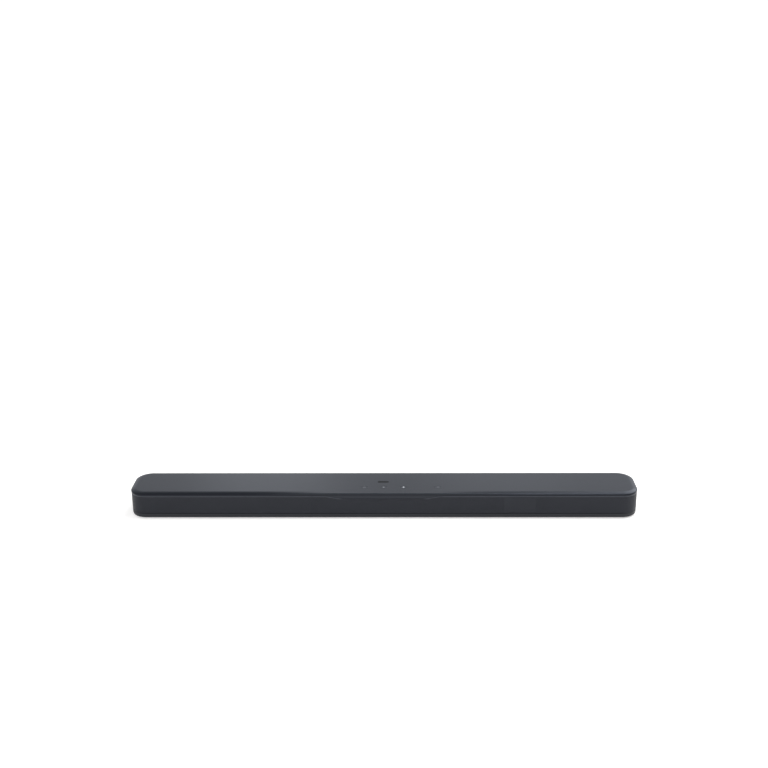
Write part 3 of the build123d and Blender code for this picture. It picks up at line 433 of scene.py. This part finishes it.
def brow_profile(edge_z):
    """Section in the front's middle, row for row with the roll: a nearly upright facet under a crisp edge."""
    rows = lip_rows(edge_z)
    for k in range(7):
        a = math.pi / 2 * k / 6
        inset = BROW_FACET + BROW_RADIUS * (1 - math.cos(a))
        rows.append((inset, TOP_Z - BROW_RADIUS + BROW_RADIUS * math.sin(a)))
    flat_start = BROW_FACET + BROW_RADIUS
    for k in range(1, 11):
        rows.append((flat_start + (ROLL_REACH - flat_start) * k / 10, TOP_Z))
    rows.append((CAP_INSET, TOP_Z))
    return rows


def cover_section(cx, side):
    """The cover's whole section at a station: its inside, then its outside."""
    edge_z = seam_z(cx) if side == "front" else GRILLE_TOP + SEAM_GAP
    roll = roll_profile(edge_z)
    if side == "front":
        weight = 1 - smooth_step(abs(cx), BROW_FLAT, BROW_END)
        roll = [((1 - weight) * a + weight * c, (1 - weight) * b + weight * d)
                for (a, b), (c, d) in zip(roll, brow_profile(edge_z))]
    inner = [(12.5, ROOF_UNDER_Z), (4.6, ROOF_UNDER_Z - 2.1), (COVER_WALL, ROOF_UNDER_Z - 3.3)]
    return inner + roll


def cap_with_holes(outer, holes, z):
    """Triangles that fill a ring and leave holes in it, as (points, triangles)."""
    grid = bmesh.new()
    edges = []
    for ring in (outer, *holes):
        made = [grid.verts.new((x, y, z)) for x, y in ring]
        edges += [grid.edges.new((made[k], made[(k + 1) % len(made)])) for k in range(len(made))]
    grid.verts.index_update()
    bmesh.ops.triangle_fill(grid, use_beauty=True, use_dissolve=False, edges=edges)
    points = [tuple(v.co) for v in grid.verts]
    faces = [tuple(v.index for v in face.verts) for face in grid.faces]
    grid.free()
    return points, faces


def build_cover():
    """The top cover as a closed shell, with the windows for the keys and the badge's recess."""
    stations = rounded_stations()
    sections = [cover_section(cx, side) for cx, cy, nx, ny, side in stations]
    rows, count = len(sections[0]), len(stations)
    vertices, faces = [], []
    for row in range(rows):
        for (cx, cy, nx, ny, side), section in zip(stations, sections):
            inset, z = section[row]
            reach = CORNER - inset
            vertices.append((cx + nx * reach, cy + ny * reach, z))
    for row in range(rows - 1):
        faces += bridge(row * count, (row + 1) * count, count)
    holes = [slot_ring(*window_of(name, 2 * KEY_CLEARANCE - 2 * KEY_RIM)) for name in KEY_BODIES]
    holes.append(slot_ring(*window_of("badge_inlay", BADGE_GROWTH)))
    for row, z, flip in ((rows - 1, TOP_Z, False), (0, ROOF_UNDER_Z, True)):
        outer = [vertices[row * count + k][:2] for k in range(count)]
        points, triangles = cap_with_holes(outer, holes, z)
        base = len(vertices)
        vertices += points
        faces += [tuple(base + i for i in (t[::-1] if flip else t)) for t in triangles]
    for hole in holes:
        base = len(vertices)
        vertices += [(x, y, TOP_Z) for x, y in hole] + [(x, y, ROOF_UNDER_Z) for x, y in hole]
        faces += bridge(base, base + len(hole), len(hole))
    piece = add_piece("cover_shell", vertices, faces, COVER)
    weld(piece)
    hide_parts("top_cover")


def window_of(name, growth):
    """Middle and size of the cover's window round a node, which is larger than the node by growth."""
    low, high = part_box(name)
    cx, cy = (low.x + high.x) / 2 / MM, (low.y + high.y) / 2 / MM
    return cx, cy, (high.x - low.x) / MM + growth, (high.y - low.y) / MM + growth


# ---------------------------------------------------------------- grille

PITCH = 1.9
HOLE_RADIUS = 0.62
CELL_SIDES = 6
CELL_RADIUS = PITCH / math.sqrt(3)
CELL_RINGS = (
    (CELL_RADIUS, 0.0), (HOLE_RADIUS, 0.0),
    (HOLE_RADIUS, GRILLE_THICK), (CELL_RADIUS, GRILLE_THICK),
)  # radius and depth, from the sheet's face round through the hole to its back
ROW_RISE = PITCH * math.sqrt(3) / 2
EDGE_MARGIN, TOP_MARGIN = 0.9, 0.7
PANELS = 6
ARC = CORNER - GRILLE_INSET
END_S = HALF_STRAIGHT_X + ARC * math.pi / 2 + (GRILLE_END_Y + HALF_STRAIGHT_Y)
HEM_WIDTH = 1.1
HEM_SECTION = (
    (-0.5, 0.75), (-0.5, 0.25), (-0.38, 0.06), (-0.15, 0.0),
    (0.15, 0.0), (0.38, 0.06), (0.5, 0.25), (0.5, 0.75),
)  # place across in widths, and depth as a share of the strip's
APRON_HEM_HALF = 84.0
FINE_HEM_HALF = 190.0


def wrap(s, z, depth):
    """Bends the grille's flat pattern round the front and both ends: s runs along it from the middle."""
    s, z, depth = np.broadcast_arrays(np.asarray(s, float), np.asarray(z, float), np.asarray(depth, float))
    side, run = np.sign(s), np.abs(s)
    turn = np.clip((run - HALF_STRAIGHT_X) / ARC, 0, math.pi / 2)
    past = np.maximum(run - HALF_STRAIGHT_X - ARC * math.pi / 2, 0)
    reach = ARC - depth
    x = np.minimum(run, HALF_STRAIGHT_X) + reach * np.sin(turn)
    y = -HALF_STRAIGHT_Y - reach * np.cos(turn) + past
    return np.stack([side * x, y, z], axis=-1)


def grille_top(s):
    return seam_z(s) - SEAM_GAP


def lattice():
    """Middles of the staggered holes that fit on the flat pattern, as (s, z)."""
    cells = []
    rows = int((GRILLE_TOP - GRILLE_BOTTOM) / ROW_RISE)
    columns = int(END_S / PITCH) + 1
    for row in range(rows + 1):
        z = GRILLE_BOTTOM + EDGE_MARGIN + row * ROW_RISE
        for column in range(-columns, columns + 1):
            s = (column + 0.5 * (row % 2)) * PITCH
            if abs(s) < END_S - EDGE_MARGIN and z < grille_top(s) - TOP_MARGIN:
                cells.append((s, z))
    return np.array(cells)


def perforated(cells):
    """Points and quads of six-sided cells, each with its hole, joined where they touch."""
    angles = np.radians(30 + 60 * np.arange(CELL_SIDES))
    rings = []
    for radius, depth in CELL_RINGS:
        s = cells[:, :1] + radius * np.cos(angles)
        z = cells[:, 1:] + radius * np.sin(angles)
        rings.append(wrap(s, z, depth))
    points = np.stack(rings, axis=1).reshape(-1, 3)
    cell_start = len(CELL_RINGS) * CELL_SIDES * np.arange(len(cells))[:, None, None]
    ring_start = cell_start + CELL_SIDES * np.arange(len(CELL_RINGS) - 1)[None, :, None]
    spot = np.arange(CELL_SIDES)[None, None, :]
    after = (spot + 1) % CELL_SIDES
    quads = np.stack([ring_start + spot, ring_start + after, ring_start + CELL_SIDES + after,
                      ring_start + CELL_SIDES + spot], axis=-1).reshape(-1, 4)
    unique, index = np.unique(np.round(points, 4), axis=0, return_inverse=True)
    return unique, index.reshape(-1)[quads]


def build_grille():
    """The perforated sheet, in a few panels."""
    cells = lattice()
    edges = np.linspace(-END_S, END_S, PANELS + 1)
    for k in range(PANELS):
        chosen = cells[(cells[:, 0] >= edges[k]) & (cells[:, 0] < edges[k + 1])]
        points, quads = perforated(chosen)
        panel = add_piece(f"grille_panel_{k + 1}", points, quads.tolist(), GRILLE)
        smooth(panel, 30)
        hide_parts("front_grille")


def hem(name, path, width, out, material):
    """A rounded strip along a path of points (s, z), which stands out from the grille's face by out."""
    path = np.asarray(path, float)
    across = across_path(path)
    rows = []
    for side, deep in HEM_SECTION:
        flat = path + across * side * width
        rows.append(wrap(flat[:, 0], flat[:, 1], deep * (GRILLE_THICK + out) - out))
    faces = ribbon_faces(0, len(rows), len(path))
    strip = add_piece(name, np.concatenate(rows), faces, material)
    weld(strip)
    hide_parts("front_grille")


def hem_stations():
    """Places along the flat pattern, close together where the top edge bends."""
    fine = np.linspace(-FINE_HEM_HALF, FINE_HEM_HALF, 121)
    coarse = np.linspace(FINE_HEM_HALF, HALF_STRAIGHT_X, 8)[1:]
    bend = HALF_STRAIGHT_X + ARC * math.pi / 2 * np.linspace(0, 1, 19)[1:]
    end = np.linspace(bend[-1], END_S - 0.05, 4)[1:]
    half = np.concatenate([coarse, bend, end])
    return np.concatenate([-half[::-1], fine, half])


def build_hems():
    """The folded edges: a dark one under the apron, a lighter one beside it that carries a painted highlight,
    the bottom one in painted shade, and the ends.
    """
    s = hem_stations()
    middle = s[np.abs(s) <= APRON_HEM_HALF]
    top_line = [(v, grille_top(v) - HEM_WIDTH / 2) for v in middle]
    hem("grille_apron_hem", top_line, HEM_WIDTH, 0.02, GRILLE)
    for side, name in ((-1, "left"), (1, "right")):
        outer = s[side * s >= middle[-1] - 0.1]
        top_line = [(v, grille_top(v) - HEM_WIDTH / 2) for v in outer]
        hem(f"grille_{name}_top_hem", top_line, HEM_WIDTH, 0.25, SEAM_HIGHLIGHT)
    hem("grille_bottom_hem", [(v, GRILLE_BOTTOM + 0.5) for v in s], 1.0, 0.02, PAINTED_SHADE)
    for side, name in ((-1, "left"), (1, "right")):
        path = [(side * (END_S - 0.6), z) for z in np.linspace(GRILLE_BOTTOM + 0.3, GRILLE_TOP - 0.3, 6)]
        hem(f"grille_{name}_end_hem", path, HEM_WIDTH, 0.05, GRILLE)


# ---------------------------------------------------------------- key marks

MARK_HEIGHT, MARK_ROOT = 0.04, 0.05


def strokes(name, lines, width, button, material):
    """Printed mark on a key: flat ribbons along lines of points, a hair above the cap."""
    low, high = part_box(button)
    cx, cy, top = (low.x + high.x) / 2 / MM, (low.y + high.y) / 2 / MM, high.z / MM
    bottom_z, top_z = top - MARK_ROOT, top + MARK_HEIGHT
    vertices, faces = [], []
    for line in lines:
        path = np.asarray(line, float)
        across = across_path(path) * width / 2
        faces += ribbon_faces(len(vertices), 4, len(path))
        for side, z in ((-1, bottom_z), (-1, top_z), (1, top_z), (1, bottom_z)):
            for x, y in path + across * side:
                vertices.append((cx + x, cy + y, z))
    mark = add_piece(name, vertices, faces, material, body=KEY_BODIES[button])
    weld(mark)


def arc_line(radius, start, end):
    """Points on an arc round the key's middle, between two angles in degrees."""
    angles = np.radians(np.linspace(start, end, 28))
    return [(radius * math.cos(a), radius * math.sin(a)) for a in angles]


def build_marks():
    """A power ring, a minus, a plus and an arrow into a bracket."""
    power = [arc_line(2.3, 125, 415), [(0, 0.5), (0, 3.0)]]
    strokes("power_mark", power, 0.6, "power_button", DIM_PRINT)
    minus = [[(-2.0, 0.2), (1.6, 0.2)]]
    strokes("volume_down_mark", minus, 1.2, "volume_down_button", PRINT)
    plus = [[(-2.6, 0), (2.6, 0)], [(0, -2.6), (0, 2.6)]]
    strokes("volume_up_mark", plus, 1.2, "volume_up_button", PRINT)
    bracket = [(0.6, 2.2), (2.9, 2.2), (2.9, -2.2), (0.6, -2.2)]
    arrow = [[(-3.0, 0), (1.0, 0)], [(-0.5, 1.3), (1.0, 0), (-0.5, -1.3)]]
    strokes("source_mark", [bracket, *arrow], 0.6, "source_button", DIM_PRINT)


# ---------------------------------------------------------------- feet and surrounds

FOOT_LENGTH, FOOT_WIDTH = 63.6, 13.6
FOOT_EDGE = ((0.9, 0.45), (0.5, 0.0), (0.15, 0.15), (0.0, 0.5))  # inset and height, up from the hollow face
RIB_PLACES, RIB_WIDTH, RIB_SHORTER = (-3.2, 0.0, 3.2), 1.8, 12.0
RIB_EDGE = ((0.0, 0.6), (0.1, 0.15), (0.4, 0.0))


def build_feet():
    """Four long pads, each with a rim and three ribs that grip the surface."""
    low, high = (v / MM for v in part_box("rubber_feet"))
    vertices, faces = [], []
    for cx in (low.x + FOOT_LENGTH / 2, high.x - FOOT_LENGTH / 2):
        for cy in (low.y + FOOT_WIDTH / 2, high.y - FOOT_WIDTH / 2):
            rings = stacked((*FOOT_EDGE, (0.0, high.z)), cx, cy, FOOT_LENGTH, FOOT_WIDTH, 10)
            add_to(vertices, faces, *rings_to_mesh(rings))
            for rib in RIB_PLACES:
                rings = stacked(RIB_EDGE, cx, cy + rib, FOOT_LENGTH - RIB_SHORTER, RIB_WIDTH, 5)
                add_to(vertices, faces, *rings_to_mesh(rings))
    pads = add_piece("foot_pads", vertices, faces, RUBBER)
    weld(pads)
    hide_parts("rubber_feet")


def stacked(levels, cx, cy, length, width, steps):
    """Level racetracks one over the other, one per (inset, height)."""
    rings = []
    for inset, z in levels:
        ring = slot_ring(cx, cy, length - 2 * inset, width - 2 * inset, steps)
        rings.append([(x, y, z) for x, y in ring])
    return rings


ROLL_THICK = 0.7
ROLL_MIDDLE, ROLL_OUTER, ROLL_INNER = 5.4, 3.4, 2.7  # how far in the roll's crest is, and its two half widths
GLUE_GAP = 0.02


def roll_section(face_y, crest_y, rim_y):
    """Once round a surround's section, as (inset, y): over the roll to the cone's cuff, and back under it."""
    outer_y = face_y - ROLL_THICK
    angles = [math.pi * k / 12 for k in range(1, 12)]
    section = [(0.0, face_y - GLUE_GAP), (0.0, face_y - 0.55), (0.25, outer_y), (2.0, outer_y)]
    section += [(ROLL_MIDDLE - ROLL_OUTER * math.cos(a), outer_y - (outer_y - crest_y) * math.sin(a))
                for a in angles]
    section += [(8.9, face_y + 0.4), (9.2, rim_y - ROLL_THICK), (10.6, rim_y - ROLL_THICK)]
    section += [(10.6, rim_y), (8.7, rim_y), (8.3, face_y + 0.3)]
    section += [(ROLL_MIDDLE - ROLL_INNER * math.cos(a), face_y - (outer_y - crest_y) * math.sin(a))
                for a in reversed(angles)]
    section.append((2.4, face_y - GLUE_GAP))
    return section


def build_surrounds():
    """Rubber half-rolls between each woofer's frame and its cone."""
    face_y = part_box("woofer_frames")[0].y / MM
    for name in [n for n in frame["nodes"] if n.endswith("_woofer_surround")]:
        low, high = (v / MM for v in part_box(name))
        cx, cz = (low.x + high.x) / 2, (low.z + high.z) / 2
        width, height = high.x - low.x, high.z - low.z
        rings = []
        for inset, y in roll_section(face_y, low.y, high.y):
            ring = slot_ring(cx, cz, width - 2 * inset, height - 2 * inset, 16)
            rings.append([(x, y, z) for x, z in ring])
        vertices, faces = rings_to_mesh(rings + rings[:1], caps=False)
        roll = add_piece(name.replace("_surround", "_roll"), vertices, faces, ROLL, body=None)
        weld(roll)
        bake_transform(roll)
        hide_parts(name)


# ---------------------------------------------------------------- socket contacts

STRIP_FACES = [(0, 1, 3, 2), (4, 6, 7, 5), (0, 4, 5, 1), (2, 3, 7, 6), (0, 2, 6, 4), (1, 5, 7, 3)]


def strip_points(x0, x1, y0, y1, z0, z1, rise):
    """Corners of a thin strip along Y, whose inner end is higher by rise."""
    return [(x, y, z + (rise if y == y0 else 0.0)) for y in (y0, y1) for x in (x0, x1) for z in (z0, z1)]


def contact_rows(name, centres, pitch, count, width, along, heights, rise=0.0):
    """Rows of gold strips on the socket tongues: one row per centre and height."""
    vertices, faces = [], []
    for cx in centres:
        for z0, z1 in heights:
            for k in range(count):
                x = cx + (k - (count - 1) / 2) * pitch
                strip = strip_points(x - width / 2, x + width / 2, *along, z0, z1, rise)
                add_to(vertices, faces, strip, STRIP_FACES)
    piece = add_piece(name, vertices, faces, GOLD)
    weld(piece)


def middle_of(name):
    """A node's middle across and its middle height."""
    low, high = (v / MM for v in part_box(name))
    return (low.x + high.x) / 2, (low.z + high.z) / 2


def build_contacts():
    """Contacts inside the sockets in the back, placed from the socket bodies."""
    low, high = (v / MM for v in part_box("hdmi_sockets"))
    mouth, middle = high.y, (low.z + high.z) / 2
    centres = (low.x + 7.6, high.x - 7.6)
    contact_rows("hdmi_contacts", centres, 1.0, 9, 0.5, (mouth - 9.0, mouth - 2.0),
                 ((middle - 0.16, middle - 0.08), (middle + 0.88, middle + 0.96)))
    cx, middle = middle_of("usb_socket")
    contact_rows("usb_contacts", (cx,), 2.5, 4, 1.3, (mouth - 9.5, mouth - 1.8),
                 ((middle + 0.08, middle + 0.22),))
    cx, middle = middle_of("ethernet_socket")
    contact_rows("network_contacts", (cx,), 1.05, 8, 0.45, (mouth - 10.5, mouth - 3.0),
                 ((middle + 4.1, middle + 4.3),), rise=-1.6)


# ---------------------------------------------------------------- stage

# Places and sizes of the stage are in metres.
FLOOR_RADIUS, FLOOR_SIDES = 4.0, 96
CAMERA_PLACE = (0.043156, -2.0038, 1.00533)
CAMERA_FIELD = 38.812  # degrees, as are the next three
CAMERA_PITCH, CAMERA_PAN, CAMERA_ROLL = 20.193, -1.1429, -0.5294
SENSOR = 36.0  # millimetres


def build_stage():
    """A warm white floor."""
    mesh = bpy.data.meshes.new("studio_floor")
    angles = [math.tau * k / FLOOR_SIDES for k in range(FLOOR_SIDES)]
    rim = [(FLOOR_RADIUS * math.cos(a), FLOOR_RADIUS * math.sin(a), 0) for a in angles]
    mesh.from_pydata(rim, [], [tuple(range(FLOOR_SIDES))])
    floor = bpy.data.objects.new("studio_floor", mesh)
    bpy.context.scene.collection.objects.link(floor)
    material, tree, shader = node_material("floor_paper")
    paper = colour_between(tree, noise(tree, 3), (0.915, 0.878, 0.82), (0.935, 0.898, 0.84))
    tree.links.new(paper, shader.inputs["Base Color"])
    shader.inputs["Emission Color"].default_value = (1, 1, 1, 1)
    shader.inputs["Emission Strength"].default_value = 0.4
    shader.inputs["Roughness"].default_value = 0.9
    shader.inputs["Specular IOR Level"].default_value = 0.2
    mesh.materials.append(material)


def tinted(level):
    """The studio's slightly cool white."""
    return (0.96 * level, 0.99 * level, 1.05 * level, 1)


def build_sky():
    """Bright near the horizon and dimmer overhead, like a white cove with its ceiling lights down."""
    world = bpy.data.worlds.new("studio")
    bpy.context.scene.world = world
    world.use_nodes = True
    tree = world.node_tree
    back = tree.nodes["Background"]
    where = tree.nodes.new("ShaderNodeTexCoord")
    split = tree.nodes.new("ShaderNodeSeparateXYZ")
    tree.links.new(where.outputs["Generated"], split.inputs["Vector"])
    shade = tree.nodes.new("ShaderNodeValToRGB")
    shade.color_ramp.interpolation = "EASE"
    stops = shade.color_ramp.elements
    stops[0].position = 0.0
    stops[0].color = tinted(1.12)
    stops[1].position = 1.0
    stops[1].color = tinted(0.2)
    for place, level in ((0.35, 0.98), (0.70, 0.50), (0.90, 0.22)):
        stops.new(place).color = tinted(level)
    tree.links.new(split.outputs["Z"], shade.inputs["Fac"])
    tree.links.new(shade.outputs["Color"], back.inputs["Color"])
    back.inputs["Strength"].default_value = 1.0


def add_light(name, light, place, aim):
    """Puts a light in the scene, turned towards a point, out of the camera's sight."""
    lamp = bpy.data.objects.new(name, light)
    bpy.context.scene.collection.objects.link(lamp)
    lamp.location = place
    lamp.rotation_euler = (Vector(aim) - Vector(place)).to_track_quat("-Z", "Y").to_euler()
    lamp.visible_camera = False


def add_softbox(name, place, aim, size, power):
    light = bpy.data.lights.new(name, "AREA")
    light.shape = "RECTANGLE"
    light.size, light.size_y = size
    light.energy = power
    light.color = tinted(1.0)[:3]
    add_light(name, light, place, aim)


def add_dome_light(name, direction, spread, strength):
    """A very broad, even light from one direction."""
    light = bpy.data.lights.new(name, "SUN")
    light.angle = math.radians(spread)
    light.energy = strength
    light.color = tinted(1.0)[:3]
    add_light(name, light, 4 * Vector(direction), (0, 0, 0))


def build_lights():
    """Two broad suns, a softbox over the right half, and two cards behind that light the cover's bevel."""
    add_dome_light("right_key", (0.55, 0.50, 0.67), 50, 1.7)
    add_dome_light("front_fill", (-0.35, -0.65, 0.68), 70, 1.0)
    add_softbox("overhead_right", (0.40, 0.10, 1.60), (0.39, 0.10, 0.0), (0.7, 0.9), 11.0)
    add_softbox("back_left_card", (-0.60, 2.7, 1.29), (-0.25, 0, 0), (0.6, 0.9), 1.3)
    add_softbox("back_right_card", (0.50, 2.7, 1.29), (0.22, 0, 0), (0.6, 0.9), 0.6)


def build_camera():
    data = bpy.data.cameras.new("camera")
    data.sensor_width = SENSOR
    data.lens = SENSOR / 2 / math.tan(math.radians(CAMERA_FIELD / 2))
    camera = bpy.data.objects.new("camera", data)
    bpy.context.scene.collection.objects.link(camera)
    pitch, pan, roll = (math.radians(v) for v in (CAMERA_PITCH, CAMERA_PAN, CAMERA_ROLL))
    ahead = Vector((math.sin(pan) * math.cos(pitch), math.cos(pan) * math.cos(pitch), -math.sin(pitch)))
    right = ahead.cross(Vector((0, 0, 1))).normalized()
    up = right.cross(ahead)
    level_right = math.cos(roll) * right + math.sin(roll) * up
    level_up = math.cos(roll) * up - math.sin(roll) * right
    turn = Matrix((level_right, level_up, -ahead)).transposed().to_4x4()
    camera.matrix_world = Matrix.Translation(CAMERA_PLACE) @ turn
    bpy.context.scene.camera = camera


build_camera()
dress_frame()
build_cover()
build_grille()
build_hems()
build_marks()
build_feet()
build_surrounds()
build_contacts()
build_stage()
build_sky()
build_lights()
bpy.context.scene.view_settings.view_transform = "Standard"
